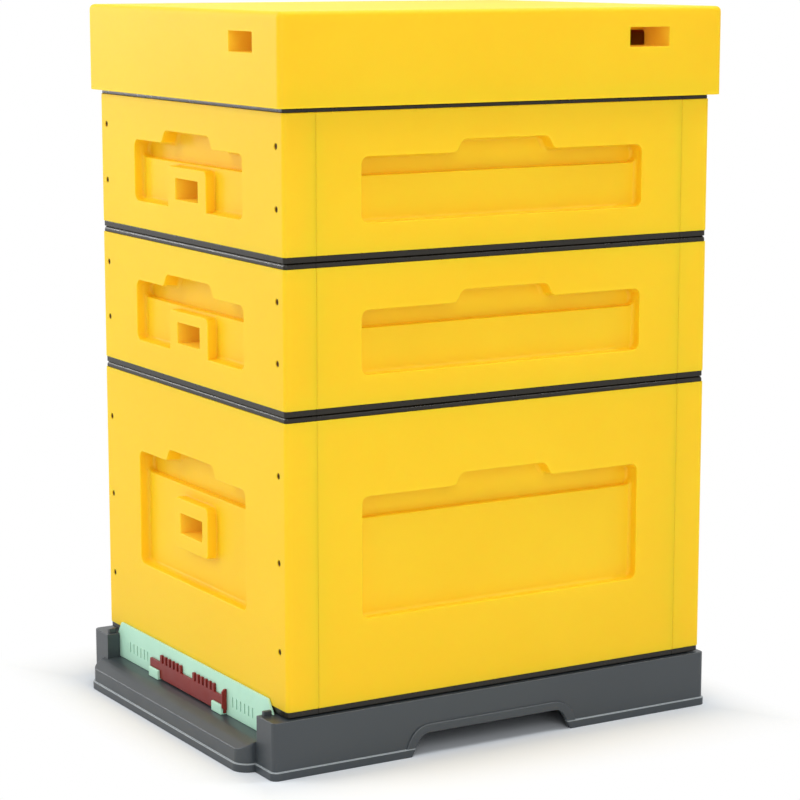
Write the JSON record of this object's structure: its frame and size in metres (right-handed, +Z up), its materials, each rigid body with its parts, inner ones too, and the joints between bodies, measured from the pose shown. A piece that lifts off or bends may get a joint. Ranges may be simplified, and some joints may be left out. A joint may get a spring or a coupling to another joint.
{
  "type": "polystyrene dadant beehive",
  "caption": "Yellow polystyrene beehive: grey moulded bottom board with a sliding entrance strip, a deep brood box, two shallow honey supers with sunk handholds, inner cover and vented roof.",
  "frame": {"origin": "centre of the footprint, on the ground under the bottom board", "axes": "+Z up; the entrance and the landing face -Y, and +X is to the right of someone facing the hive from the front and looking along +Y"},
  "size_m": [0.468, 0.588, 0.802],
  "materials": {
    "yellow_polystyrene": "hard painted expanded polystyrene, satin yellow with a faint bead texture",
    "rim_plastic": "injection moulded plastic rim, dark grey, semi gloss",
    "base_plastic": "injection moulded plastic, slate grey, satin with soft highlights",
    "mint_plastic": "moulded plastic, pale mint, satin",
    "red_plastic": "moulded plastic, brick red, satin",
    "cover_plastic": "pale moulded board, matt",
    "tray_plastic": "thin moulded plastic, dark grey, matt",
    "mesh_steel": "galvanised wire mesh",
    "frame_wood": "planed lime wood, with a sheet of beeswax foundation"
  },
  "bodies": {
    "bottom_board": {"bottom_board": "base_plastic", "ventilation_mesh": "mesh_steel"},
    "inspection_tray": {"inspection_tray": "tray_plastic"},
    "entrance_block": {"entrance_block": "mint_plastic"},
    "entrance_slider": {"entrance_slider": "red_plastic"},
    "brood_box": {"brood_front_wall": "yellow_polystyrene", "brood_back_wall": "yellow_polystyrene", "brood_left_wall": "yellow_polystyrene", "brood_right_wall": "yellow_polystyrene", "brood_bottom_rim": "rim_plastic", "brood_top_rim": "rim_plastic", "brood_frame_01": "frame_wood", "brood_frame_02": "frame_wood", "brood_frame_03": "frame_wood", "brood_frame_04": "frame_wood", "brood_frame_05": "frame_wood", "brood_frame_06": "frame_wood", "brood_frame_07": "frame_wood", "brood_frame_08": "frame_wood", "brood_frame_09": "frame_wood", "brood_frame_10": "frame_wood"},
    "lower_super_box": {"lower_super_front_wall": "yellow_polystyrene", "lower_super_back_wall": "yellow_polystyrene", "lower_super_left_wall": "yellow_polystyrene", "lower_super_right_wall": "yellow_polystyrene", "lower_super_bottom_rim": "rim_plastic", "lower_super_top_rim": "rim_plastic", "lower_super_frame_01": "frame_wood", "lower_super_frame_02": "frame_wood", "lower_super_frame_03": "frame_wood", "lower_super_frame_04": "frame_wood", "lower_super_frame_05": "frame_wood", "lower_super_frame_06": "frame_wood", "lower_super_frame_07": "frame_wood", "lower_super_frame_08": "frame_wood", "lower_super_frame_09": "frame_wood", "lower_super_frame_10": "frame_wood"},
    "upper_super_box": {"upper_super_front_wall": "yellow_polystyrene", "upper_super_back_wall": "yellow_polystyrene", "upper_super_left_wall": "yellow_polystyrene", "upper_super_right_wall": "yellow_polystyrene", "upper_super_bottom_rim": "rim_plastic", "upper_super_top_rim": "rim_plastic", "upper_super_frame_01": "frame_wood", "upper_super_frame_02": "frame_wood", "upper_super_frame_03": "frame_wood", "upper_super_frame_04": "frame_wood", "upper_super_frame_05": "frame_wood", "upper_super_frame_06": "frame_wood", "upper_super_frame_07": "frame_wood", "upper_super_frame_08": "frame_wood", "upper_super_frame_09": "frame_wood", "upper_super_frame_10": "frame_wood"},
    "inner_cover": {"inner_cover": "cover_plastic"},
    "roof": {"roof": "yellow_polystyrene"}
  },
  "joints": [
    {"name": "tray_slide", "type": "slide", "parent": "bottom_board", "child": "inspection_tray", "axis": [0, 1, 0], "range_m": [0, 0.4]},
    {"name": "entrance_block_lift", "type": "slide", "parent": "bottom_board", "child": "entrance_block", "axis": [0, 0, 1], "range_m": [0, 0.05]},
    {"name": "entrance_slide", "type": "slide", "parent": "entrance_block", "child": "entrance_slider", "axis": [1, 0, 0], "range_m": [0, 0.1]},
    {"name": "brood_box_lift", "type": "slide", "parent": "bottom_board", "child": "brood_box", "axis": [0, 0, 1], "range_m": [0, 0.12]},
    {"name": "lower_super_lift", "type": "slide", "parent": "brood_box", "child": "lower_super_box", "axis": [0, 0, 1], "range_m": [0, 0.15]},
    {"name": "upper_super_lift", "type": "slide", "parent": "lower_super_box", "child": "upper_super_box", "axis": [0, 0, 1], "range_m": [0, 0.15]},
    {"name": "inner_cover_lift", "type": "slide", "parent": "upper_super_box", "child": "inner_cover", "axis": [0, 0, 1], "range_m": [0, 0.15]},
    {"name": "roof_lift", "type": "slide", "parent": "inner_cover", "child": "roof", "axis": [0, 0, 1], "range_m": [0, 0.15]}
  ]
}
